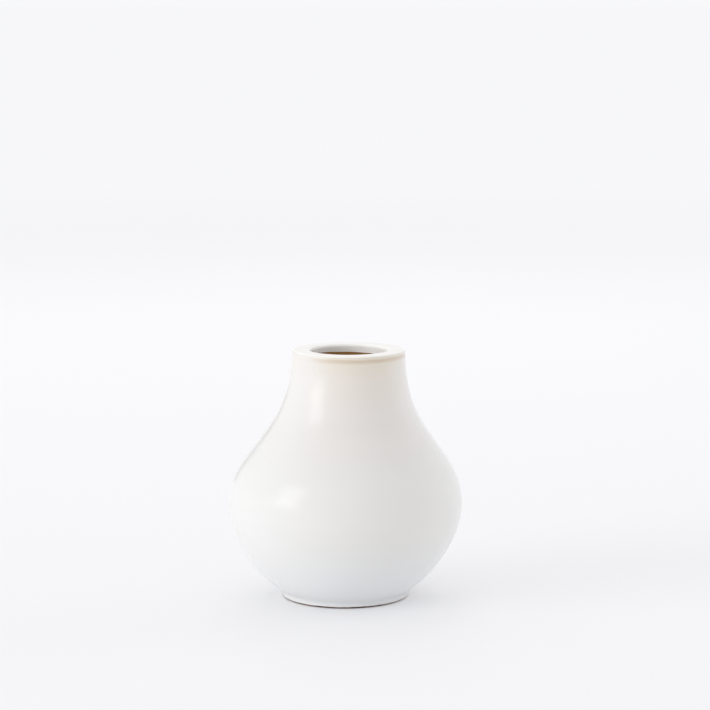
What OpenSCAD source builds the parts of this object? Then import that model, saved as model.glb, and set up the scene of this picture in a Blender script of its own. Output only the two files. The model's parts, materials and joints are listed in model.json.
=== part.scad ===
// Ceramic bud vase: a thrown stoneware bottle with a round, squat belly, a short neck,
// a thick flat-topped rim and a low turned foot ring. A white satin glaze coats the
// outside and the lip, and a dark glaze lines the inside.
// Millimetres, +Z up. The vase stands on z = 0 and the Z axis is its axis of symmetry.

/* [Overall] */
// Height from the table to the top of the rim
vase_h = 100; // [98:0.5:105]
// Straight steps along each curve of the profile
curve_steps = 16; // [6:1:24]
// Straight steps around each rounded corner of the rim
corner_steps = 4; // [2:1:8]

/* [Belly and shoulder] */
// Largest outside radius
belly_r = 46.9; // [45.5:0.1:48]
// Height of the largest radius
belly_z = 37; // [35.5:0.5:39]
// Radius where the shoulder turns from bulging to hollow
shoulder_r = 34; // [33:0.5:35]
// Height of that turn
shoulder_z = 65; // [63.5:0.5:66.5]
// Slope of the side at that turn, in degrees above level
shoulder_slope = 54; // [51:1:57]

/* [Neck and rim] */
// Outside radius just under the rim
rim_r = 22.5; // [22:0.1:23.4]
// Lean of the neck inwards at the rim, in degrees
neck_lean = 2; // [0:0.5:4]
// Radius of the straight throat
mouth_r = 15.4; // [14.4:0.1:16]
// Depth of the straight throat below the top of the rim
throat_depth = 13; // [10:0.5:15]
// Rounding of the rim's outer corner
rim_outer_round = 0.9; // [0.7:0.1:1.4]
// Rounding of the rim's inner corner
rim_inner_round = 1.2; // [0.7:0.1:1.6]

/* [Foot] */
// Outside radius of the foot, over its glaze
foot_r = 25.2; // [24.2:0.1:26.4]
// Height of the foot's upright wall
foot_h = 2.2; // [1.9:0.1:3]
// Slope of the side where it leaves the foot, in degrees above level
foot_slope = 37; // [33:1:41]
// Width of the ring that the vase stands on, between its bevels
foot_ring_w = 3.6; // [2.8:0.1:5]
// Bevel along both edges of that ring
foot_bevel = 0.4; // [0.2:0.1:0.5]
// Depth of the recess inside the foot ring
recess_depth = 1.8; // [1.2:0.1:2.2]

/* [Wall] */
// Thickness of the side at the belly and the shoulder, with both glazes
wall_t = 5; // [4.4:0.1:5.4]
// Height of the inside floor above the table
floor_z = 7.5; // [7:0.1:9]
// Radius of the level part of the inside floor
floor_r = 14; // [11:0.5:15.5]

/* [Glaze] */
// Thickness of the white coat and of the liner
glaze_t = 0.5; // [0.35:0.05:0.6]
// Height of the bare clay edge below the white coat
glaze_line_z = 0.6; // [0.6:0.1:1.2]
// How far the white coat runs down the throat
lip_glaze_depth = 3.2; // [2.6:0.1:5]
// Bare margin around the glaze in the recess
base_margin = 1.5; // [0.8:0.1:2.6]

/* [Hidden] */
$fn = 96;
UP = [0, 1];
DOWN = [0, -1];
INWARD = [-1, 0];
// How far each curve's handles reach, as a share of the distance between its ends
FOOT_PULL = [0.47, 0.21];
BELLY_PULL = [0.39, 0.46];
NECK_PULL = [0.28, 0.51];
CAVITY_TOP_PULL = [0.36, 0.36];
CAVITY_FLOOR_PULL = [0.34, 0.36];
clay_foot_r = foot_r - glaze_t;
recess_r = clay_foot_r - foot_ring_w - 2 * foot_bevel;

function heading(angle) = [cos(angle), sin(angle)];
function reversed(path) = [for (i = [len(path) - 1 : -1 : 0]) path[i]];
function first_points(path, n) = [for (i = [0 : n - 1]) path[i]];
function points_from(path, n) = [for (i = [n : len(path) - 1]) path[i]];

// Cubic curve from a to d with handles b and c, without its first point
function cubic(a, b, c, d) =
    [for (i = [1 : curve_steps])
        let (t = i / curve_steps, s = 1 - t)
        s * s * s * a + 3 * s * s * t * b + 3 * s * t * t * c + t * t * t * d];

// Curve that leaves one point along its heading and arrives at the next along that one's
function flow(from, leave, to, arrive, pull) =
    let (reach = norm(to - from))
    cubic(from, from + leave * pull[0] * reach, to - arrive * pull[1] * reach, to);

// Round corner of radius r about c, turning from angle a0 to a1, without its first point
function corner(c, r, a0, a1) =
    [for (i = [1 : corner_steps]) c + r * heading(a0 + (a1 - a0) * i / corner_steps)];

// Outward direction at point i of a path that keeps the clay on its left
function outward(path, i) =
    let (a = path[max(i - 1, 0)], b = path[min(i + 1, len(path) - 1)], run = (b - a) / norm(b - a))
    [run[1], -run[0]];

// The same path moved into the clay by t
function sunk(path, t) = [for (i = [0 : len(path) - 1]) path[i] - t * outward(path, i)];

belly = [belly_r, belly_z];
shoulder = [shoulder_r, shoulder_z];
shoulder_heading = heading(180 - shoulder_slope);
neck_top = [rim_r, vase_h - rim_outer_round];
lip_inner_c = [mouth_r + rim_inner_round, vase_h - rim_inner_round];

// Surface of the white coat: up from the foot, over the rim and into the throat
outside = concat(
    [[foot_r, glaze_line_z], [foot_r, foot_h]],
    flow([foot_r, foot_h], heading(foot_slope), belly, UP, FOOT_PULL),
    flow(belly, UP, shoulder, shoulder_heading, BELLY_PULL),
    flow(shoulder, shoulder_heading, neck_top, heading(90 + neck_lean), NECK_PULL),
    corner(neck_top - [rim_outer_round, 0], rim_outer_round, 0, 90),
    [lip_inner_c + [0, rim_inner_round]],
    corner(lip_inner_c, rim_inner_round, 90, 180),
    [[mouth_r, vase_h - lip_glaze_depth]]);

// Surface of the liner: down the throat, around the cavity and across the floor.
// From the shoulder to the belly it runs wall_t inside the white coat's surface.
belly_i = 1 + curve_steps;
shoulder_i = belly_i + curve_steps;
inner_side = [for (i = [shoulder_i : -1 : belly_i]) outside[i] - wall_t * outward(outside, i)];
throat_end = [mouth_r, vase_h - throat_depth];
inside = concat(
    [throat_end],
    flow(throat_end, DOWN, inner_side[0], -shoulder_heading, CAVITY_TOP_PULL),
    points_from(inner_side, 1),
    flow(inner_side[curve_steps], DOWN, [floor_r, floor_z], INWARD, CAVITY_FLOOR_PULL),
    [[0, floor_z]]);

surface = concat(outside, inside);
clay_face = sunk(surface, glaze_t);

// Layer of glaze between the clay and the surface, from point i0 to point i1
module coat(i0, i1) {
    skin = points_from(first_points(surface, i1 + 1), i0);
    bond = points_from(first_points(clay_face, i1 + 1), i0);
    rotate_extrude() polygon(concat(skin, reversed(bond)));
}

// Fired clay wall, floor and foot ring, left bare on the ring
module clay_body() {
    foot = [
        [0, recess_depth],
        [recess_r, recess_depth],
        [recess_r, foot_bevel],
        [recess_r + foot_bevel, 0],
        [clay_foot_r - foot_bevel, 0],
        [clay_foot_r, foot_bevel]];
    color([0.56, 0.43, 0.31])
    rotate_extrude() polygon(concat(foot, clay_face));
}

// White satin coat from the foot's bare edge to the lip inside the throat
module outer_glaze() {
    color([0.93, 0.91, 0.88]) coat(0, len(outside) - 1);
}

// Dark glaze from the lip down to the inside floor
module liner_glaze() {
    color([0.30, 0.20, 0.13]) coat(len(outside) - 1, len(surface) - 1);
}

// White glaze on the roof of the recess under the vase
module base_glaze() {
    color([0.90, 0.89, 0.87])
    translate([0, 0, recess_depth - glaze_t])
    cylinder(r = recess_r - base_margin, h = glaze_t);
}

clay_body();
outer_glaze();
liner_glaze();
base_glaze();
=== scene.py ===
"""A thrown stoneware bud vase under a white satin glaze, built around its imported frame.

The vase is one pot in four layers: the fired clay, a white coat over the outside and the
lip, a dark liner inside and a patch of glaze under the foot. Each layer is a class that
spins its own closed mesh, gives it the marks of the hand, and dresses it.

Fields of the pot and its finishes are in millimetres. The studio and all meshes are in
metres. Slopes and arcs are in degrees, and turns in radians. +Z runs up the axis of the
vase, and the camera looks along +Y.
"""

import json
import logging
import math
from dataclasses import dataclass
from enum import Enum

import bmesh
import bpy
from mathutils import Matrix, Vector, noise
from mathutils.geometry import interpolate_bezier


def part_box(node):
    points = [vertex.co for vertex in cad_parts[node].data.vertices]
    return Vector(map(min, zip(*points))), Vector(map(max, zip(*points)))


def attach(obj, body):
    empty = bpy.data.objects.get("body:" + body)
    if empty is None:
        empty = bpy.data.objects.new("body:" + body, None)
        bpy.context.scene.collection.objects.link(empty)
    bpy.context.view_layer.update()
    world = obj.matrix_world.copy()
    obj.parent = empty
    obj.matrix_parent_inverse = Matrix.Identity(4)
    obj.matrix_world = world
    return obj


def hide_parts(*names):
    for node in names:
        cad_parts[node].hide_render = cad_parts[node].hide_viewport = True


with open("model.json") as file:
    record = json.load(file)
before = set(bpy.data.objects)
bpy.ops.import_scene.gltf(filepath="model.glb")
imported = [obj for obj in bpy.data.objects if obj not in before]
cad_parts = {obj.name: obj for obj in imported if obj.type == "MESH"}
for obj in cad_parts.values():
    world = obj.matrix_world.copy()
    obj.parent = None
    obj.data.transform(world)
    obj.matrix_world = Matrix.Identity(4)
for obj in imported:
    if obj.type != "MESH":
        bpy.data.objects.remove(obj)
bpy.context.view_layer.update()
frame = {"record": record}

MM = 0.001  # metres in a millimetre
WELD = 0.001  # millimetres within which points are one point
CLOSE = 0.01  # millimetres within which two heights are the same
GRAIN_SPAN = (0.3, 0.7)  # levels between which nearly all of a grain lies
ROOT_BODY = "root"
UP = Vector((0.0, 1.0))
DOWN = Vector((0.0, -1.0))
INWARD = Vector((-1.0, 0.0))
OUTWARD = Vector((1.0, 0.0))
Pair = tuple[float, float]
Paint = tuple[float, float, float, float]
Socket = bpy.types.NodeSocket
log = logging.getLogger("bud_vase")


class Slot(Enum):
    """Finishes of the vase, by the name that its record gives them."""

    CLAY = "bare_clay"
    WHITE = "white_glaze"
    DARK = "dark_glaze"


class Closing(Enum):
    """How the two ends of an outline meet before it is spun."""

    ON_AXIS = "both ends lie on the axis"
    LOOP = "the last point joins the first"


def linear(*chip: int) -> Paint:
    """Colour of a paint chip as the shader wants it.

    Args:
        *chip: Red, green and blue of the chip, 0 to 255.

    Returns:
        The same colour in linear light, with full alpha.
    """
    knee, slope, offset, power = 0.04045, 12.92, 0.055, 2.4
    parts = [level / 255.0 for level in chip]
    light = [c / slope if c <= knee else ((c + offset) / (1 + offset)) ** power for c in parts]
    return (*light, 1.0)


def grey(level: float, blue: float = 1.0) -> Paint:
    """Grey or white of a level in linear light, with its blue multiplied by a factor."""
    return (level, level, level * blue, 1.0)


def smooth(low: float, high: float, value: float) -> float:
    """Ease from 0 to 1 as value goes from low to high."""
    share = min(max((value - low) / (high - low), 0.0), 1.0)
    return share * share * (3.0 - 2.0 * share)


def heading(degrees: float) -> Vector:
    """Direction in the outline's plane, in degrees above straight outwards."""
    return Vector((math.cos(math.radians(degrees)), math.sin(math.radians(degrees))))


def flow(start: Vector, leave: Vector, end: Vector, arrive: Vector,
         pulls: Pair, steps: int) -> list[Vector]:
    """Smooth curve between two points of an outline.

    Args:
        start: First point of the curve.
        leave: Direction in which it leaves start.
        end: Last point of the curve.
        arrive: Direction in which it arrives at end.
        pulls: Reach of the two handles, as shares of the distance between the ends.
        steps: Number of stretches along the curve.

    Returns:
        The points of the curve, both ends included.
    """
    reach = (end - start).length
    first = start + leave * pulls[0] * reach
    second = end - arrive * pulls[1] * reach
    return [Vector(p[:2]) for p in interpolate_bezier(start, first, second, end, steps + 1)]


def straight(start: Vector, end: Vector, steps: int) -> list[Vector]:
    """Straight stretch of an outline, cut evenly so that its faces stay small."""
    return [start.lerp(end, i / steps) for i in range(steps + 1)]


def corner(centre: Vector, radius: float, first: float, last: float, steps: int) -> list[Vector]:
    """Round corner of an outline, between two angles in degrees above straight outwards."""
    turns = [first + (last - first) * i / steps for i in range(steps + 1)]
    return [centre + radius * heading(turn) for turn in turns]


def sunk(path: list[Vector], depth: float) -> list[Vector]:
    """Outline moved into the clay.

    Args:
        path: Points of an outline that keeps the clay on its left.
        depth: How far it moves.

    Returns:
        One moved point for each point of path.
    """
    moved = []
    for i, point in enumerate(path):
        run = (path[min(i + 1, len(path) - 1)] - path[max(i - 1, 0)]).normalized()
        moved.append(point - depth * Vector((run.y, -run.x)))
    return moved


def joined(*runs: list[Vector]) -> list[Vector]:
    """Join runs of points, leaving out points that repeat."""
    points: list[Vector] = []
    for run in runs:
        for point in run:
            if not points or (point - points[-1]).length > 2.0 * WELD:
                points.append(point)
    return points


def settle(shell: bmesh.types.BMesh, name: str) -> bpy.types.Object:
    """Turn a finished bmesh into an object at the origin and add it to the scene.

    Args:
        shell: The bmesh, in metres. It is freed.
        name: Name of the object and of its mesh.

    Returns:
        The new object.
    """
    mesh = bpy.data.meshes.new(name)
    shell.to_mesh(mesh)
    shell.free()
    piece = bpy.data.objects.new(name, mesh)
    bpy.context.scene.collection.objects.link(piece)
    return piece


@dataclass(frozen=True)
class VaseForm:
    """Sizes of the pot in millimetres, and the outlines that follow from them."""

    height: float
    belly_r: float
    glaze_t: float
    glaze_line_z: float
    lip_end_z: float
    floor_z: float
    recess_z: float
    base_r: float
    mouth_r: float
    belly_z: float = 37.0
    shoulder_r: float = 34.0
    shoulder_z: float = 65.0
    shoulder_slope: float = 54.0
    rim_r: float = 22.5
    neck_lean: float = 2.0
    rim_outer_round: float = 0.9
    rim_inner_round: float = 1.2
    throat_depth: float = 13.0
    foot_r: float = 25.2
    foot_h: float = 2.2
    foot_slope: float = 37.0
    foot_fillet: float = 2.4
    fillet_drop: float = 0.6
    foot_ring_w: float = 3.6
    foot_bevel: float = 0.4
    wall_t: float = 5.0
    floor_r: float = 14.0
    fillet_pulls: Pair = (0.4, 0.4)
    low_belly_pulls: Pair = (0.45, 0.21)
    high_belly_pulls: Pair = (0.39, 0.46)
    neck_pulls: Pair = (0.28, 0.51)
    even_pulls: Pair = (0.33, 0.33)
    throat_pulls: Pair = (0.36, 0.36)
    floor_pulls: Pair = (0.34, 0.36)
    curve_steps: int = 40
    corner_steps: int = 8

    @classmethod
    def from_frame(cls) -> "VaseForm":
        """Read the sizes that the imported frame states.

        Returns:
            The form of the vase, with its other sizes at their design values.
        """
        coat_low, coat_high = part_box("outer_glaze")
        liner_low, liner_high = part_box("liner_glaze")
        clay_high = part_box("clay_body")[1]
        base_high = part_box("base_glaze")[1]
        mouth = next(m for m in frame["record"]["mounts"] if m["name"] == "mouth")
        glaze_t = (coat_high.x - clay_high.x) / MM
        return cls(
            height=coat_high.z / MM,
            belly_r=coat_high.x / MM,
            glaze_t=glaze_t,
            glaze_line_z=coat_low.z / MM,
            lip_end_z=liner_high.z / MM,
            floor_z=liner_low.z / MM + glaze_t,
            recess_z=base_high.z / MM,
            base_r=base_high.x / MM,
            mouth_r=mouth["dims"]["r_mm"],
        )

    def side(self) -> list[Vector]:
        """Outside of the white coat from the foot wall to just under the rim.

        Returns:
            Points going up. The foot wall runs into the belly through a small fillet.
        """
        foot_top = Vector((self.foot_r, self.foot_h))
        flare = heading(self.foot_slope)
        fillet_low = foot_top - UP * self.foot_fillet * self.fillet_drop
        fillet_high = foot_top + flare * self.foot_fillet
        belly = Vector((self.belly_r, self.belly_z))
        shoulder = Vector((self.shoulder_r, self.shoulder_z))
        turn = heading(180.0 - self.shoulder_slope)
        neck = heading(90.0 + self.neck_lean)
        neck_top = Vector((self.rim_r, self.height - self.rim_outer_round))
        return joined(
            flow(fillet_low, UP, fillet_high, flare, self.fillet_pulls, self.corner_steps),
            flow(fillet_high, flare, belly, UP, self.low_belly_pulls, self.curve_steps),
            flow(belly, UP, shoulder, turn, self.high_belly_pulls, self.curve_steps),
            flow(shoulder, turn, neck_top, neck, self.neck_pulls, self.curve_steps),
        )

    def lip(self) -> list[Vector]:
        """Outside of the white coat over the rim, from its outer to its inner corner."""
        outer = Vector((self.rim_r - self.rim_outer_round, self.height - self.rim_outer_round))
        inner = Vector((self.mouth_r + self.rim_inner_round, self.height - self.rim_inner_round))
        return joined(
            corner(outer, self.rim_outer_round, 0.0, 90.0, self.corner_steps),
            flow(outer + UP * self.rim_outer_round, INWARD, inner + UP * self.rim_inner_round,
                 INWARD, self.even_pulls, self.corner_steps),
            corner(inner, self.rim_inner_round, 90.0, 180.0, self.corner_steps),
        )

    def coat(self) -> list[Vector]:
        """Outside of the white coat from its edge above the foot to its end in the throat."""
        edge = Vector((self.foot_r, self.glaze_line_z))
        end = Vector((self.mouth_r, self.lip_end_z))
        return joined([edge], self.side(), self.lip(), [end])

    def cavity(self) -> list[Vector]:
        """Inside of the pot, from the foot of the straight throat to the middle of the floor."""
        flank = [p for p in self.side() if self.belly_z <= p.y <= self.shoulder_z + CLOSE]
        inner_flank = list(reversed(sunk(flank, self.wall_t)))
        throat_end = Vector((self.mouth_r, self.height - self.throat_depth))
        turn = heading(-self.shoulder_slope)
        level = Vector((self.floor_r, self.floor_z))
        middle = Vector((0.0, self.floor_z))
        return joined(
            flow(throat_end, DOWN, inner_flank[0], turn, self.throat_pulls, self.curve_steps),
            inner_flank,
            flow(inner_flank[-1], DOWN, level, INWARD, self.floor_pulls, self.curve_steps),
            flow(level, INWARD, middle, INWARD, self.even_pulls, self.corner_steps),
        )


@dataclass(frozen=True)
class PottersHand:
    """Small departures from a true turned form that throwing by hand leaves, in millimetres."""

    height: float
    foot_drift: float = -0.45
    lean: float = 1.35
    lean_start: float = 0.42
    girth: float = 47.0
    oval: float = 0.14
    oval_turn: float = 0.7
    dent: float = 0.10
    dent_size: float = 26.0
    ring: float = 0.014
    ring_pitch: float = 5.4
    ring_fade: float = 14.0

    def place(self, point: Vector) -> Vector:
        """Move a point of the true form to where the thrown pot has it.

        Args:
            point: A point of the true form, in metres.

        Returns:
            The same point on the slightly leaning, slightly oval pot.
        """
        share = point.z / MM / self.height
        drift = self.foot_drift + self.lean * smooth(self.lean_start, 1.0, share)
        angle = math.atan2(point.y, point.x)
        radius = math.hypot(point.x, point.y) / MM
        swell = radius / self.girth * self.oval * math.cos(2.0 * (angle - self.oval_turn))
        swell += self.dent * radius / self.girth * noise.noise(point / (self.dent_size * MM))
        outward = Vector((math.cos(angle), math.sin(angle), 0.0))
        return point + (outward * swell + Vector((drift, 0.0, 0.0))) * MM

    def rings(self, point: Vector, strength: float) -> float:
        """Height of the throwing spiral at a point.

        Args:
            point: A point of the surface, in metres.
            strength: How strong the spiral is there, 1 on the outside wall.

        Returns:
            How far the surface stands out, in metres.
        """
        turn = math.atan2(point.y, point.x)
        wave = math.sin(2.0 * math.pi * point.z / MM / self.ring_pitch + turn)
        along = Vector((math.cos(turn), math.sin(turn), point.z / MM / self.ring_fade))
        fade = 0.5 + 0.5 * noise.noise(along)
        return self.ring * MM * strength * wave * fade


@dataclass(frozen=True)
class Grain:
    """Cloudy noise: clouds along a metre, finer layers, stretch, and weight of the layers."""

    scale: float
    detail: float = 2.0
    stretch: tuple[float, float, float] = (1.0, 1.0, 1.0)
    rough: float = 0.5


@dataclass(frozen=True)
class Specks:
    """Scattered round specks: cells along a metre, largest radius, share of cells, soft edge."""

    scale: float
    size: float
    keep: float
    edge: Pair = (-0.3, 0.1)


@dataclass(frozen=True)
class Side:
    """How far out towards a level direction a mark starts and is full, and how strong it is."""

    heading_xy: Pair
    reach: Pair
    strength: Pair


class NodeGraph:
    """Node tree of one finish, built a node at a time from readable calls."""

    def __init__(self, name: str) -> None:
        """Start an empty material with a Principled shader.

        Args:
            name: Name of the material.
        """
        self.material = bpy.data.materials.new(name)
        self.material.use_nodes = True
        self.tree = self.material.node_tree
        self.shader = self.tree.nodes["Principled BSDF"]
        self.place = self.add("TexCoord", {}).outputs["Object"]
        split = self.add("SeparateXYZ", {0: self.place})
        self.height = split.outputs["Z"]
        flat = self.add("CombineXYZ", {"X": split.outputs["X"], "Y": split.outputs["Y"]})
        reach = self.add("VectorMath", {0: flat.outputs[0]}, operation="LENGTH")
        self.radius = reach.outputs["Value"]

    def add(self, kind: str, inputs: dict, **settings: str) -> bpy.types.Node:
        """Add a node.

        Args:
            kind: Kind of shader node.
            inputs: Values or sockets for its inputs, by their names or numbers.
            **settings: Choices of the node, made before it is fed.

        Returns:
            The new node.
        """
        node = self.tree.nodes.new("ShaderNode" + kind)
        for setting, choice in settings.items():
            setattr(node, setting, choice)
        for key, value in inputs.items():
            self.feed(node.inputs[key], value)
        return node

    def feed(self, socket: Socket, value: object) -> None:
        """Link value to a socket if it is a socket itself, or set it."""
        if isinstance(value, Socket):
            self.tree.links.new(value, socket)
        else:
            socket.default_value = value

    def shade(self, name: str, value: object) -> None:
        """Link or set one input of the shader."""
        self.feed(self.shader.inputs[name], value)

    def math(self, operation: str, first: object, second: object = 0.0) -> Socket:
        """Combine two numbers, or the sockets that give them, by an operation of the Math node."""
        return self.add("Math", {0: first, 1: second}, operation=operation).outputs[0]

    def ease(self, value: object, span: Pair, result: Pair = (0.0, 1.0)) -> Socket:
        """Smooth step between two levels.

        Args:
            value: The socket that gives the measure.
            span: Measures at which the step starts and ends.
            result: Results below and above the step.

        Returns:
            The socket that gives the result.
        """
        inputs = {"Value": value, "From Min": span[0], "From Max": span[1],
                  "To Min": result[0], "To Max": result[1]}
        return self.add("MapRange", inputs, interpolation_type="SMOOTHSTEP").outputs["Result"]

    def grain(self, grain: Grain) -> Socket:
        """Cloudy noise around 0.5."""
        mapping = self.add("Mapping", {"Vector": self.place, "Scale": grain.stretch})
        inputs = {"Vector": mapping.outputs[0], "Scale": grain.scale, "Detail": grain.detail,
                  "Roughness": grain.rough}
        return self.add("TexNoise", inputs).outputs["Fac"]

    def wander(self, measure: Socket, grain: Grain, spread: float) -> Socket:
        """Measure moved by noise, over spread millimetres in all, so that bands are uneven."""
        shift = self.math("SUBTRACT", self.grain(grain), 0.5)
        return self.math("ADD", measure, self.math("MULTIPLY", shift, spread * MM))

    def along(self, heading_xy: Pair) -> Socket:
        """Distance from the axis, in metres, along a level direction."""
        node = self.add("VectorMath", {0: self.place, 1: (*heading_xy, 0.0)},
                        operation="DOT_PRODUCT")
        return node.outputs["Value"]

    def bearing(self, heading_xy: Pair) -> Socket:
        """Cosine of the angle around the axis from a level direction."""
        return self.math("DIVIDE", self.along(heading_xy), self.radius)

    def towards(self, side: Side) -> Socket:
        """Strength of a mark that grows towards one side of the vase."""
        near, far = side.reach
        return self.ease(self.along(side.heading_xy), (near * MM, far * MM), side.strength)

    def specks(self, specks: Specks) -> Socket:
        """Scattered specks, with 1 inside a speck and 0 away from them."""
        cells = self.add("TexVoronoi", {"Vector": self.place, "Scale": specks.scale})
        lot = self.add("SeparateColor", {0: cells.outputs["Color"]})
        chosen = self.math("LESS_THAN", lot.outputs[0], specks.keep)
        reach = self.math("MULTIPLY", lot.outputs[1], specks.size)
        past = self.math("SUBTRACT", cells.outputs["Distance"], reach)
        span = (specks.edge[0] * specks.size, specks.edge[1] * specks.size)
        return self.math("MULTIPLY", self.ease(past, span, (1.0, 0.0)), chosen)

    def blend(self, share: object, first: object, second: object) -> Socket:
        """Mix two colours, or the sockets that give them, by the share of the second."""
        return self.add("Mix", {0: share, 6: first, 7: second}, data_type="RGBA").outputs[2]

    def ramp(self, value: Socket, stops: tuple) -> Socket:
        """Colours along a measure.

        Args:
            value: The socket that gives the measure, in metres.
            stops: Pairs of a measure in millimetres and a colour, in rising order.

        Returns:
            The socket that gives the colour.
        """
        low, high = stops[0][0], stops[-1][0]
        share = self.add("MapRange", {"Value": value, "From Min": low * MM, "From Max": high * MM})
        node = self.add("ValToRGB", {0: share.outputs["Result"]})
        node.color_ramp.interpolation = "EASE"
        elements = node.color_ramp.elements
        elements[0].color, elements[-1].color = stops[0][1], stops[-1][1]
        for at, colour in stops[1:-1]:
            elements.new((at - low) / (high - low)).color = colour
        return node.outputs["Color"]

    def gloss(self, roughness: Pair, grain: Grain) -> None:
        """Let the shader's roughness wander between two levels with a grain."""
        self.shade("Roughness", self.ease(self.grain(grain), GRAIN_SPAN, roughness))

    def relief(self, height: Socket, depth: float) -> None:
        """Raise the shaded surface by a height field, whose 1 means depth in millimetres."""
        bump = self.add("Bump", {"Distance": depth * MM, "Height": height})
        self.shade("Normal", bump.outputs[0])


@dataclass(frozen=True)
class WhiteSatinGlaze:
    """White glaze that warms on the neck, breaks tan under the rim and cools at the foot, where
    the cool is partly a painted reflection of the table.

    A pair says where a change starts and ends, or the two levels that it goes between. Marks
    of the rim have their depths below the rim, and their widths out from the mouth.
    """

    form: VaseForm
    # Rim white: the glaze's own white, lifted as painted light on the rim top and inside the
    # mouth.
    rim: Paint = linear(250, 248, 244)
    buff: Paint = linear(227, 219, 206)
    warm: Paint = linear(228, 221, 213)
    blush: Paint = linear(228, 223, 219)
    neutral: Paint = linear(229, 228, 225)
    # Cool white at the foot: partly the glaze's colour, partly a painted reflection of the table.
    cool_and_floor_reflection: Paint = linear(229, 231, 232)
    # Painted light: the sides are whitened and lose their tint, as lit glaze reads washed out; the
    # front keeps it.
    washed_out_white: Paint = linear(230, 230, 229)
    pale: Paint = linear(243, 241, 240)
    tan: Paint = linear(188, 152, 104)
    bare: Paint = linear(150, 104, 66)
    iron: Paint = linear(126, 106, 84)
    bands: tuple = ((8.0, cool_and_floor_reflection), (34.0, neutral), (50.0, neutral), (74.0, blush), (90.0, warm),
                    (98.0, buff))
    band_cloud: Grain = Grain(38.0, 3.0)
    band_drift: float = 12.0
    full_tint_heading: Pair = (0.31, -0.95)
    wash_reach: Pair = (0.45, 1.0)
    wash_share: Pair = (0.65, 0.0)
    streaks: Grain = Grain(60.0, 2.0, (0.35, 0.35, 3.0))
    streak_span: Pair = (0.35, 0.75)
    streak_share: Pair = (0.0, 0.07)
    flecks: Specks = Specks(95.0, 0.075, 0.10)
    fleck_share: float = 0.45
    roughness: Pair = (0.17, 0.23)
    gloss_grain: Grain = Grain(120.0)
    ior: float = 1.5
    peel: Grain = Grain(420.0)
    peel_depth: float = 0.009
    pits: Specks = Specks(160.0, 0.06, 0.12)
    pit_depth: float = 3.0
    rim_edge: Pair = (0.55, 0.10)
    rim_width: float = 2.0
    break_low: Pair = (3.4, 1.9)
    break_high: Pair = (1.7, 0.8)
    break_grain: Grain = Grain(70.0)
    break_drift: float = 0.7
    break_width: float = 4.0
    patches: Grain = Grain(34.0, 1.0)
    patch_span: Pair = (0.3, 0.65)
    patch_share: Pair = (0.7, 1.0)
    break_front: Side = Side((0.75, -0.66), (-4.0, 14.0), (0.02, 0.40))
    break_back: Side = Side((-0.26, 0.97), (8.0, 20.0), (0.0, 0.30))
    fade_grain: Grain = Grain(90.0)
    fade_drift: float = 0.5
    fade_side: Pair = (0.83, 0.56)
    fade_tilt: float = 0.036
    fade_reach: Pair = (-0.2, 0.75)
    fade_share: Pair = (0.8, 0.0)
    fade_width: float = 1.5
    foot_reach: float = 0.30
    foot_share: Pair = (0.45, 0.0)

    def material(self) -> bpy.types.Material:
        """Make the glaze.

        Returns:
            The finished material.
        """
        graph = NodeGraph("white_satin_glaze")
        level = graph.wander(graph.height, self.band_cloud, self.band_drift)
        colour = graph.ramp(level, self.bands)
        # Painted light: wash the tint out away from the front, standing in for the glare of the
        # lit sides and edges.
        washed_out = graph.ease(graph.bearing(self.full_tint_heading), self.wash_reach, self.wash_share)
        colour = graph.blend(washed_out, colour, self.washed_out_white)
        # Painted light: whiter rim top and mouth, partly the glaze's own white.
        colour = graph.blend(self.lit_rim_and_mouth(graph), colour, self.rim)
        streak = graph.ease(graph.grain(self.streaks), self.streak_span, self.streak_share)
        colour = graph.blend(streak, colour, self.pale)
        fleck = graph.math("MULTIPLY", graph.specks(self.flecks), self.fleck_share)
        colour = graph.blend(fleck, colour, self.iron)
        colour = graph.blend(self.rim_break(graph), colour, self.tan)
        colour = graph.blend(self.throat_fade(graph), colour, self.bare)
        colour = graph.blend(self.foot_break(graph), colour, self.bare)
        graph.shade("Base Color", colour)
        graph.gloss(self.roughness, self.gloss_grain)
        graph.shade("IOR", self.ior)
        peel = graph.grain(self.peel)
        pits = graph.math("MULTIPLY", graph.specks(self.pits), -self.pit_depth)
        graph.relief(graph.math("ADD", peel, pits), self.peel_depth)
        return graph.material

    def below_rim(self, depths: Pair) -> Pair:
        """Heights, in metres, at two depths below the rim."""
        return ((self.form.height - depths[0]) * MM, (self.form.height - depths[1]) * MM)

    def lit_rim_and_mouth(self, graph: NodeGraph) -> Socket:
        """Whiter glaze on the flat of the rim and just inside the mouth: the glaze's own white,
        made whiter as painted light on the rim top and into the mouth.

        Args:
            graph: The tree that the mask is built in.

        Returns:
            The socket that is 1 on the rim and in the mouth, and 0 on the neck.
        """
        flat = graph.ease(graph.height, self.below_rim(self.rim_edge))
        edge = (self.form.mouth_r + self.rim_width) * MM
        inside = graph.math("LESS_THAN", graph.radius, edge)
        return graph.math("MAXIMUM", flat, inside)

    def rim_break(self, graph: NodeGraph) -> Socket:
        """Line under the rim's outer corner where the coat runs thin over the clay.

        Args:
            graph: The tree that the mask is built in.

        Returns:
            The socket that is high along that line, most of all at the front right.
        """
        level = graph.wander(graph.height, self.break_grain, self.break_drift)
        above = graph.ease(level, self.below_rim(self.break_low))
        below = graph.ease(level, self.below_rim(self.break_high), (1.0, 0.0))
        edge = (self.form.mouth_r + self.break_width) * MM
        outside = graph.math("GREATER_THAN", graph.radius, edge)
        patchy = graph.ease(graph.grain(self.patches), self.patch_span, self.patch_share)
        sides = (graph.towards(self.break_front), graph.towards(self.break_back))
        line = graph.math("MULTIPLY", graph.math("MULTIPLY", above, below), outside)
        strength = graph.math("MULTIPLY", patchy, graph.math("MAXIMUM", *sides))
        return graph.math("MULTIPLY", line, strength)

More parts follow.
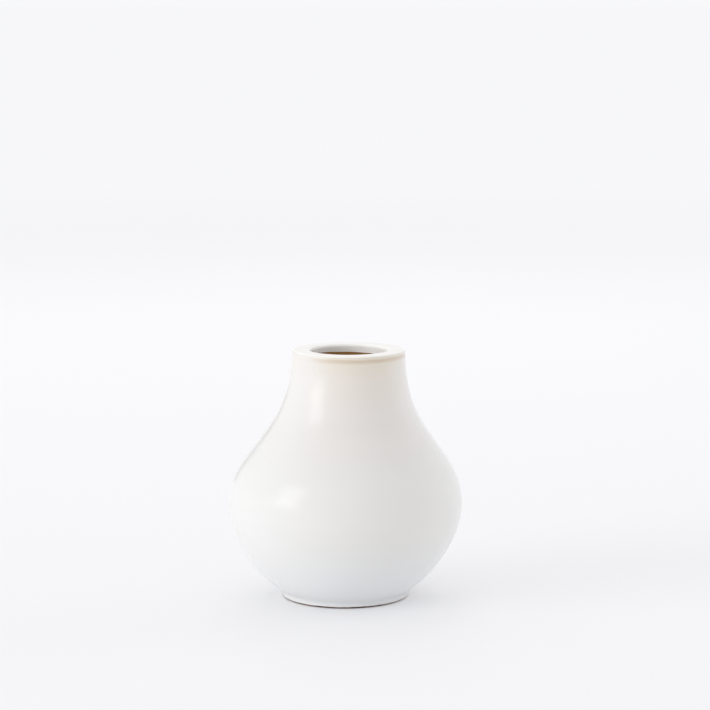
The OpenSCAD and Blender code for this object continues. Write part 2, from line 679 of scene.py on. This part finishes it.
    def throat_fade(self, graph: NodeGraph) -> Socket:
        """Thinning of the coat towards its end inside the throat.

        Args:
            graph: The tree that the mask is built in.

        Returns:
            The socket that is high near the end of the coat.
        """
        level = graph.wander(graph.height, self.fade_grain, self.fade_drift)
        tilt = graph.math("MULTIPLY", graph.along(self.fade_side), self.fade_tilt)
        low, high = (self.form.lip_end_z + reach for reach in self.fade_reach)
        near = graph.ease(graph.math("ADD", level, tilt), (low * MM, high * MM), self.fade_share)
        edge = (self.form.mouth_r + self.fade_width) * MM
        inside = graph.math("LESS_THAN", graph.radius, edge)
        return graph.math("MULTIPLY", near, inside)

    def foot_break(self, graph: NodeGraph) -> Socket:
        """Thin brown edge where the coat ends above the foot, highest at the very edge."""
        line = self.form.glaze_line_z
        return graph.ease(graph.height, (line * MM, (line + self.foot_reach) * MM),
                          self.foot_share)


@dataclass(frozen=True)
class DarkLinerGlaze:
    """Glossy brown liner, darker where it pools on the floor and where it ran."""

    deep: Paint = linear(58, 38, 24)
    brown: Paint = linear(100, 66, 40)
    amber: Paint = linear(168, 122, 70)
    bands: tuple = ((6.0, deep), (40.0, brown), (84.0, brown), (97.0, amber))
    band_cloud: Grain = Grain(60.0, 3.0)
    band_drift: float = 16.0
    runs: Grain = Grain(130.0, 2.0, (1.0, 1.0, 0.18))
    run_span: Pair = (0.45, 0.75)
    run_share: Pair = (0.0, 0.45)
    roughness: Pair = (0.13, 0.21)
    gloss_grain: Grain = Grain(150.0)
    ior: float = 1.52
    ripple: Grain = Grain(260.0)
    ripple_depth: float = 0.03

    def material(self) -> bpy.types.Material:
        """Make the glaze.

        Returns:
            The finished material.
        """
        graph = NodeGraph("dark_liner_glaze")
        level = graph.wander(graph.height, self.band_cloud, self.band_drift)
        runs = graph.ease(graph.grain(self.runs), self.run_span, self.run_share)
        graph.shade("Base Color", graph.blend(runs, graph.ramp(level, self.bands), self.deep))
        graph.shade("IOR", self.ior)
        graph.gloss(self.roughness, self.gloss_grain)
        graph.relief(graph.grain(self.ripple), self.ripple_depth)
        return graph.material


@dataclass(frozen=True)
class BareStoneware:
    """Fired, unglazed stoneware with grog in it, fine lines from turning and painted contact shade
    on the outer edge of the foot ring.
    """

    ring_r: float
    body: Paint = linear(140, 106, 76)
    toast: Paint = linear(104, 70, 46)
    grog: Paint = linear(188, 160, 126)
    iron: Paint = linear(52, 36, 26)
    # Painted contact shade: dark grey-brown laid on the outer edge of the foot ring, where it
    # stands on the table.
    painted_contact_shade: Paint = linear(62, 50, 44)
    toasting: Grain = Grain(90.0, 3.0)
    toast_span: Pair = (0.35, 0.7)
    grog_specks: Specks = Specks(900.0, 0.30, 0.28)
    iron_specks: Specks = Specks(600.0, 0.22, 0.16)
    contact_shade_width: float = 1.2
    contact_shade_share: Pair = (0.0, 0.75)
    roughness: Pair = (0.74, 0.90)
    rough_grain: Grain = Grain(300.0)
    line_pitch: float = 0.55
    line_depth: float = 0.25
    grit: Grain = Grain(1400.0, 3.0, rough=0.65)
    grit_depth: float = 0.06

    def material(self) -> bpy.types.Material:
        """Make the clay.

        Returns:
            The finished material.
        """
        graph = NodeGraph("bare_stoneware")
        toasted = graph.ease(graph.grain(self.toasting), self.toast_span)
        colour = graph.blend(toasted, self.body, self.toast)
        colour = graph.blend(graph.specks(self.grog_specks), colour, self.grog)
        colour = graph.blend(graph.specks(self.iron_specks), colour, self.iron)
        # Painted contact shade: darken the clay towards the outer edge of the foot ring.
        contact_shading = graph.ease(graph.radius,
                              ((self.ring_r - self.contact_shade_width) * MM, self.ring_r * MM),
                              self.contact_shade_share)
        graph.shade("Base Color", graph.blend(contact_shading, colour, self.painted_contact_shade))
        graph.gloss(self.roughness, self.rough_grain)
        turns = graph.math("MULTIPLY", graph.radius, 2.0 * math.pi / (self.line_pitch * MM))
        lines = graph.math("MULTIPLY", graph.math("SINE", turns), self.line_depth)
        graph.relief(graph.math("ADD", graph.grain(self.grit), lines), self.grit_depth)
        return graph.material


@dataclass(frozen=True)
class PuddledBaseGlaze:
    """White glaze puddled under the foot, tan where it thins towards its edge."""

    edge_r: float
    white: Paint = linear(226, 224, 218)
    cream: Paint = linear(222, 212, 192)
    tan: Paint = linear(172, 138, 100)
    iron: Paint = linear(128, 102, 76)
    thin_edge: Pair = (5.0, 1.6)
    edge_grain: Grain = Grain(110.0, 3.0)
    edge_drift: float = 2.6
    flecks: Specks = Specks(150.0, 0.10, 0.12)
    roughness: Pair = (0.17, 0.25)
    gloss_grain: Grain = Grain(140.0)
    ripple: Grain = Grain(300.0)
    ripple_depth: float = 0.03

    def material(self) -> bpy.types.Material:
        """Make the glaze.

        Returns:
            The finished material.
        """
        graph = NodeGraph("puddled_base_glaze")
        start, end = (self.edge_r - width for width in self.thin_edge)
        colour = graph.ramp(
            graph.wander(graph.radius, self.edge_grain, self.edge_drift),
            ((0.0, self.white), (start, self.white), (end, self.cream), (self.edge_r, self.tan)),
        )
        graph.shade("Base Color", graph.blend(graph.specks(self.flecks), colour, self.iron))
        graph.gloss(self.roughness, self.gloss_grain)
        graph.relief(graph.grain(self.ripple), self.ripple_depth)
        return graph.material


@dataclass(frozen=True)
class PotLayer:
    """One layer of the pot: a closed spun mesh that stands for one node of the frame."""

    form: VaseForm
    hand: PottersHand
    name: str = "layer"
    node: str = "clay_body"
    slot: Slot = Slot.CLAY
    closing: Closing = Closing.ON_AXIS
    segments: int = 192

    def outline(self) -> list[Vector]:
        """Outline of the layer's section, in millimetres."""
        raise NotImplementedError

    def touch(self, point: Vector) -> Vector:
        """Move a point of this layer, in metres, before the shared lean and ovality."""
        return point

    def finish(self) -> bpy.types.Material:
        """Material of the layer."""
        raise NotImplementedError

    def spin(self) -> bmesh.types.BMesh:
        """Spin the outline around the axis: a quarter first, then copies of what is there.

        Returns:
            The closed shell, in metres, with merged doubles and outward faces.
        """
        shell = bmesh.new()
        verts = [shell.verts.new((p.x * MM, 0.0, p.y * MM)) for p in self.outline()]
        edges = [shell.edges.new(pair) for pair in zip(verts, verts[1:])]
        if self.closing is Closing.LOOP:
            edges.append(shell.edges.new((verts[-1], verts[0])))
        bmesh.ops.spin(shell, geom=verts + edges, cent=(0.0, 0.0, 0.0), axis=(0.0, 0.0, 1.0),
                       angle=math.pi / 2.0, steps=self.segments // 4)
        for turn in (math.pi / 2.0, math.pi):
            whole = shell.verts[:] + shell.edges[:] + shell.faces[:]
            copy = bmesh.ops.duplicate(shell, geom=whole)["geom"]
            turned = [part for part in copy if isinstance(part, bmesh.types.BMVert)]
            bmesh.ops.rotate(shell, verts=turned, cent=(0.0, 0.0, 0.0),
                             matrix=Matrix.Rotation(turn, 3, "Z"))
        bmesh.ops.remove_doubles(shell, verts=shell.verts, dist=WELD * MM)
        bmesh.ops.recalc_face_normals(shell, faces=shell.faces)
        for vert in shell.verts:
            vert.co = self.hand.place(self.touch(vert.co.copy()))
        for face in shell.faces:
            face.smooth = True
        return shell

    def build(self) -> bpy.types.Object:
        """Make the piece, dress it and set it in the frame.

        Returns:
            The finished piece.
        """
        piece = settle(self.spin(), self.name)
        piece.data.materials.append(self.finish())
        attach(piece, ROOT_BODY)
        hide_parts(self.node)
        return piece


@dataclass(frozen=True)
class ClayBody(PotLayer):
    """Fired clay wall and floor, with its turned foot ring left bare."""

    name: str = "stoneware_body"
    node: str = "clay_body"
    slot: Slot = Slot.CLAY
    recess_round: float = 0.8
    round_steps: int = 6
    level_steps: int = 12

    def outline(self) -> list[Vector]:
        """Section of the clay, from the middle of the recess out and up to the inside floor.

        Returns:
            Points in millimetres, both ends on the axis.
        """
        form = self.form
        bevel = form.foot_bevel
        ring_out = form.foot_r - form.glaze_t
        ring_in = ring_out - form.foot_ring_w - 2.0 * bevel
        roof_r = ring_in - self.recess_round
        inner_round = Vector((roof_r, form.recess_z - self.recess_round))
        foot = joined(
            straight(Vector((0.0, form.recess_z)), Vector((roof_r, form.recess_z)),
                     self.level_steps),
            corner(inner_round, self.recess_round, 90.0, 0.0, self.round_steps),
            [Vector((ring_in, bevel))],
            corner(Vector((ring_in + bevel, bevel)), bevel, 180.0, 270.0, self.round_steps),
            straight(Vector((ring_in + bevel, 0.0)), Vector((ring_out - bevel, 0.0)),
                     self.level_steps),
            corner(Vector((ring_out - bevel, bevel)), bevel, 270.0, 360.0, self.round_steps),
        )
        return joined(foot, sunk(joined(form.coat(), form.cavity()), form.glaze_t))

    def finish(self) -> bpy.types.Material:
        """Bare stoneware."""
        return BareStoneware(self.form.foot_r - self.form.glaze_t).material()


@dataclass(frozen=True)
class WhiteCoat(PotLayer):
    """White coat from the bare edge of the foot, over the rim, to its end in the throat."""

    name: str = "white_coat"
    node: str = "outer_glaze"
    slot: Slot = Slot.WHITE
    closing: Closing = Closing.LOOP
    segments: int = 256
    edge_reach: float = 3.0
    edge_lift: float = 0.6
    edge_arc: Pair = (250.0, 345.0)
    edge_lobes: Pair = (5.0, 14.0)
    edge_wave: Pair = (0.16, 0.08)
    edge_tilt: float = 0.24
    edge_turn: float = -1.35
    edge_sag: float = 0.6
    end_arc: Pair = (170.0, 262.0)
    end_lobes: float = 2.2
    end_seed: float = 3.0
    end_wave: float = 0.35
    end_tilt: float = 0.55
    end_turn: float = 0.6
    end_round: float = 0.30
    rim_reach: float = 1.3
    calm_foot: float = 9.0
    calm_neck: Pair = (88.0, 98.0)
    round_steps: int = 6

    def outline(self) -> list[Vector]:
        """Section of the coat: its surface up and over the rim, and its bond with the clay.

        Returns:
            Points in millimetres around the loop.
        """
        surface = self.form.coat()
        low, end = surface[0], surface[-1]
        bond = sunk(surface, self.form.glaze_t)
        bead = self.form.glaze_t / 2.0
        edge = corner(low + Vector((-bead, bead * self.edge_lift)), bead, *self.edge_arc,
                      self.round_steps)
        fall = straight(surface[-2], end + UP * self.end_round, self.round_steps)
        curl = corner(end + Vector((bead, self.end_round)), self.end_round, *self.end_arc,
                      self.round_steps)
        return joined(edge, surface[1:-1], fall, curl, list(reversed(bond[1:-1])))

    def touch(self, point: Vector) -> Vector:
        """Let the coat's two edges wander and give its surface the throwing spiral.

        Args:
            point: A point of the spun mesh, in metres.

        Returns:
            Where the point belongs.
        """
        form = self.form
        height = point.z / MM
        turn = math.atan2(point.y, point.x)
        around = Vector((math.cos(turn), math.sin(turn), 0.0))
        if height < self.edge_reach:
            wave = sum(depth * noise.noise(around * lobes)
                       for depth, lobes in zip(self.edge_wave, self.edge_lobes))
            wave += self.edge_tilt * (math.cos(turn - self.edge_turn) - self.edge_sag)
            point.z += wave * (1.0 - smooth(form.glaze_line_z, self.edge_reach, height)) * MM
        if math.hypot(point.x, point.y) < (form.mouth_r + 2.0 * form.glaze_t) * MM:
            seed = Vector((self.end_seed, 0.0, 0.0))
            wave = self.end_wave * noise.noise(around * self.end_lobes + seed)
            wave -= self.end_tilt * math.cos(turn - self.end_turn)
            fade = smooth(form.lip_end_z, form.height - self.rim_reach, height)
            point.z += wave * (1.0 - fade) * MM
        elif self.edge_reach < height < form.height - self.rim_reach:
            calm = smooth(self.edge_reach, self.calm_foot, height)
            calm *= 1.0 - smooth(*self.calm_neck, height)
            point += around * self.hand.rings(point, calm)
        return point

    def finish(self) -> bpy.types.Material:
        """White satin glaze."""
        return WhiteSatinGlaze(self.form).material()


@dataclass(frozen=True)
class DarkLiner(PotLayer):
    """Dark glaze from under the end of the white coat down to the inside floor."""

    name: str = "dark_liner"
    node: str = "liner_glaze"
    slot: Slot = Slot.DARK
    segments: int = 128
    tuck: float = 1.6
    shy: float = 0.06
    spiral: float = 4.0
    calm_floor: Pair = (8.0, 16.0)
    calm_throat: Pair = (78.0, 88.0)
    still_r: float = 4.0
    throat_steps: int = 12

    def outline(self) -> list[Vector]:
        """Section of the liner: its surface down to the floor, and its bond with the clay.

        Returns:
            Points in millimetres, both ends on the axis.
        """
        form = self.form
        top = Vector((form.mouth_r + self.shy, form.lip_end_z + self.tuck))
        throat_end = Vector((form.mouth_r, form.height - form.throat_depth))
        surface = joined(straight(top, throat_end, self.throat_steps), form.cavity())
        bond = sunk(surface, form.glaze_t - self.shy)
        return joined(list(reversed(surface)), bond)

    def touch(self, point: Vector) -> Vector:
        """Give the inside wall its throwing spiral.

        Args:
            point: A point of the spun mesh, in metres.

        Returns:
            Where the point belongs.
        """
        height = point.z / MM
        around = Vector((point.x, point.y, 0.0))
        if around.length < self.still_r * MM:
            return point
        calm = self.spiral * smooth(*self.calm_floor, height)
        calm *= 1.0 - smooth(*self.calm_throat, height)
        return point + around.normalized() * self.hand.rings(point, calm)

    def finish(self) -> bpy.types.Material:
        """Glossy brown liner glaze."""
        return DarkLinerGlaze().material()


@dataclass(frozen=True)
class BaseGlaze(PotLayer):
    """Patch of glaze on the roof of the recess inside the foot ring."""

    name: str = "base_glaze_patch"
    node: str = "base_glaze"
    slot: Slot = Slot.WHITE
    segments: int = 128
    edge_wave: float = 0.7
    edge_lobes: float = 2.6
    edge_seed: float = 9.0
    edge_start: float = 8.0
    dish: float = 0.12
    dish_pulls: Pair = (0.5, 0.2)
    still_r: float = 1.0
    level_steps: int = 24
    round_steps: int = 10

    def outline(self) -> list[Vector]:
        """Section of the patch, from its middle out to a rounded edge and back.

        Returns:
            Points in millimetres, both ends on the axis.
        """
        form = self.form
        low = form.recess_z - form.glaze_t
        bead = form.glaze_t / 2.0
        middle = Vector((0.0, low + self.dish))
        edge_low = Vector((form.base_r - bead, low))
        edge_centre = Vector((form.base_r - bead, form.recess_z - bead))
        return joined(
            flow(middle, OUTWARD, edge_low, OUTWARD, self.dish_pulls, self.level_steps),
            corner(edge_centre, bead, 270.0, 450.0, self.round_steps),
            [Vector((0.0, form.recess_z))],
        )

    def touch(self, point: Vector) -> Vector:
        """Let the edge of the patch wander.

        Args:
            point: A point of the spun mesh, in metres.

        Returns:
            Where the point belongs.
        """
        around = Vector((point.x, point.y, 0.0))
        reach = around.length / MM
        if reach < self.still_r:
            return point
        seed = Vector((0.0, 0.0, self.edge_seed))
        wave = noise.noise(around.normalized() * self.edge_lobes + seed)
        push = self.edge_wave * wave * smooth(self.edge_start, self.form.base_r, reach)
        return point + around.normalized() * push * MM

    def finish(self) -> bpy.types.Material:
        """White glaze, puddled."""
        return PuddledBaseGlaze(self.form.base_r).material()


def around_vase(azimuth: float, distance: float, height: float) -> Vector:
    """Place in the studio. Azimuth 0 is towards the camera and grows to the right."""
    turn = math.radians(azimuth)
    return Vector((math.sin(turn) * distance, -math.cos(turn) * distance, height))


@dataclass(frozen=True)
class SoftLamp:
    """Broad soft lamp that stands or hangs around the vase and faces it."""

    name: str
    azimuth: float
    distance: float
    height: float
    size: Pair
    radiance: float
    mirrored_only: bool = False
    aim_height: float = 0.05

    def hang(self) -> None:
        """Hang the lamp, hidden from the camera. It only shows in reflections, or only lights."""
        light = bpy.data.lights.new(self.name, "AREA")
        light.shape = "RECTANGLE"
        light.size, light.size_y = self.size
        light.energy = self.radiance * math.pi * self.size[0] * self.size[1]
        lamp = bpy.data.objects.new(self.name, light)
        lamp.location = around_vase(self.azimuth, self.distance, self.height)
        facing = Vector((0.0, 0.0, self.aim_height)) - lamp.location
        lamp.rotation_euler = facing.to_track_quat("-Z", "Y").to_euler()
        lamp.visible_camera = False
        lamp.visible_glossy = self.mirrored_only
        lamp.visible_diffuse = not self.mirrored_only
        bpy.context.scene.collection.objects.link(lamp)


@dataclass(frozen=True)
class DarkFlag:
    """Upright dark card that holds light back, seen only by the light and never by the camera."""

    name: str
    azimuth: float
    distance: float
    lift: float
    size: Pair
    mirrored_only: bool
    darkness: float = 0.06
    roughness: float = 0.9

    def stand(self) -> None:
        """Stand the card on the set, facing the vase."""
        card = bmesh.new()
        bmesh.ops.create_grid(card, x_segments=1, y_segments=1, size=0.5)
        bmesh.ops.scale(card, vec=(*self.size, 1.0), verts=card.verts)
        flag = settle(card, self.name)
        finish = NodeGraph("dark_card")
        finish.shade("Base Color", grey(self.darkness))
        finish.shade("Roughness", self.roughness)
        flag.data.materials.append(finish.material)
        middle = self.lift + self.size[1] / 2.0
        flag.location = around_vase(self.azimuth, self.distance, middle)
        flag.rotation_euler = (math.pi / 2.0, 0.0, math.radians(self.azimuth))
        flag.visible_camera = False
        flag.visible_diffuse = not self.mirrored_only
        flag.visible_glossy = self.mirrored_only
        flag.visible_shadow = False


LAMPS = (
    SoftLamp("key", -66.0, 3.90, 0.93, (2.70, 0.90), 6.8),
    SoftLamp("window", -60.0, 3.90, 1.76, (1.68, 2.40), 1.65, mirrored_only=True),
    SoftLamp("edge_fill", 118.0, 4.20, 0.83, (2.10, 1.26), 2.9),
    SoftLamp("back_fill", 180.0, 1.00, 1.00, (0.70, 0.70), 0.9),
)
FLAGS = (
    DarkFlag("edge_flag", 206.0, 1.6, 0.0, (0.17, 0.70), mirrored_only=True),
    DarkFlag("front_flag", 26.0, 2.55, 0.12, (1.26, 0.78), mirrored_only=False),
)


@dataclass(frozen=True)
class Studio:
    """Pale glowing table, even white surroundings, soft lamps and the camera."""

    floor_radius: float = 60.0
    floor_segments: int = 96
    floor_drop: float = 0.00005
    floor_white: float = 0.74
    floor_far: float = 0.05
    floor_roughness: float = 0.75
    dust: Paint = (0.6, 0.6, 0.62, 1.0)
    dust_grain: Grain = Grain(9.0, 3.0)
    dust_share: Pair = (0.0, 0.012)
    glow: Pair = (0.185, 0.887)
    glow_reach: Pair = (0.9, 2.4)
    glow_blue: float = 1.02
    white_blue: float = 1.012
    room_white: float = 0.87
    horizon_white: float = 0.94
    horizon_band: Pair = (0.03, 0.16)
    camera_distance: float = 1.0
    camera_height: float = 0.2392
    aim_height: float = 0.0976
    aim_side: float = 0.0034
    lens_mm: float = 128.4
    film_mm: float = 36.0

    def floor(self) -> None:
        """Lay a large pale disc just under the foot."""
        disc = bmesh.new()
        bmesh.ops.create_circle(disc, cap_ends=True, segments=self.floor_segments,
                                radius=self.floor_radius)
        bmesh.ops.translate(disc, verts=disc.verts, vec=(0.0, 0.0, -self.floor_drop))
        floor = settle(disc, "studio_floor")
        floor.data.materials.append(self.table_finish())

    def table_finish(self) -> bpy.types.Material:
        """Make the table's finish.

        Returns:
            A white that glows a little near the vase. Further out it is dark but glows white,
            so that the lamps leave no marks on it.
        """
        graph = NodeGraph("pale_table")
        dust = graph.ease(graph.grain(self.dust_grain), GRAIN_SPAN, self.dust_share)
        near = graph.blend(dust, grey(self.floor_white, self.white_blue), self.dust)
        far = grey(self.floor_far, self.white_blue)
        outwards = graph.ease(graph.radius, self.glow_reach)
        graph.shade("Base Color", graph.blend(outwards, near, far))
        graph.shade("Roughness", self.floor_roughness)
        graph.shade("Specular IOR Level", 0.0)
        graph.shade("Emission Color", grey(1.0, self.glow_blue))
        graph.shade("Emission Strength", graph.ease(graph.radius, self.glow_reach, self.glow))
        return graph.material

    def surroundings(self) -> None:
        """Surround the set with even white light, a little brighter along the horizon."""
        world = bpy.data.worlds.new("white_room")
        world.use_nodes = True
        tree = world.node_tree
        sky = tree.nodes.new("ShaderNodeTexCoord")
        split = tree.nodes.new("ShaderNodeSeparateXYZ")
        tree.links.new(sky.outputs["Generated"], split.inputs[0])
        band = tree.nodes.new("ShaderNodeMapRange")
        band.interpolation_type = "SMOOTHSTEP"
        tree.links.new(split.outputs["Z"], band.inputs["Value"])
        low, high = self.horizon_band
        for name, level in (("From Min", low), ("From Max", high),
                            ("To Min", self.horizon_white), ("To Max", self.room_white)):
            band.inputs[name].default_value = level
        background = tree.nodes["Background"]
        background.inputs["Color"].default_value = grey(1.0, self.white_blue)
        tree.links.new(band.outputs["Result"], background.inputs["Strength"])
        bpy.context.scene.world = world

    def camera(self) -> None:
        """Set up the camera a little above the vase and looking slightly down."""
        lens = bpy.data.cameras.new("camera")
        lens.lens = self.lens_mm
        lens.sensor_width = self.film_mm
        camera = bpy.data.objects.new("camera", lens)
        camera.location = (0.0, -self.camera_distance, self.camera_height)
        facing = Vector((self.aim_side, 0.0, self.aim_height)) - camera.location
        camera.rotation_euler = facing.to_track_quat("-Z", "Y").to_euler()
        bpy.context.scene.collection.objects.link(camera)
        bpy.context.scene.camera = camera

    def build(self) -> None:
        """Set up the whole studio."""
        bpy.context.scene.view_settings.view_transform = "Standard"
        self.camera()
        self.surroundings()
        self.floor()
        for flag in FLAGS:
            flag.stand()
        for lamp in LAMPS:
            lamp.hang()


def main() -> None:
    """Build the studio and every layer of the vase, and report each piece."""
    logging.basicConfig(level=logging.INFO, format="%(name)s: %(message)s")
    Studio().build()
    form = VaseForm.from_frame()
    hand = PottersHand(form.height)
    for layer in (ClayBody, DarkLiner, WhiteCoat, BaseGlaze):
        piece = layer(form, hand).build()
        log.info("%s: %d faces, finish %s", piece.name, len(piece.data.polygons),
                 piece.data.materials[0].name)


if __name__ == "__main__":
    main()
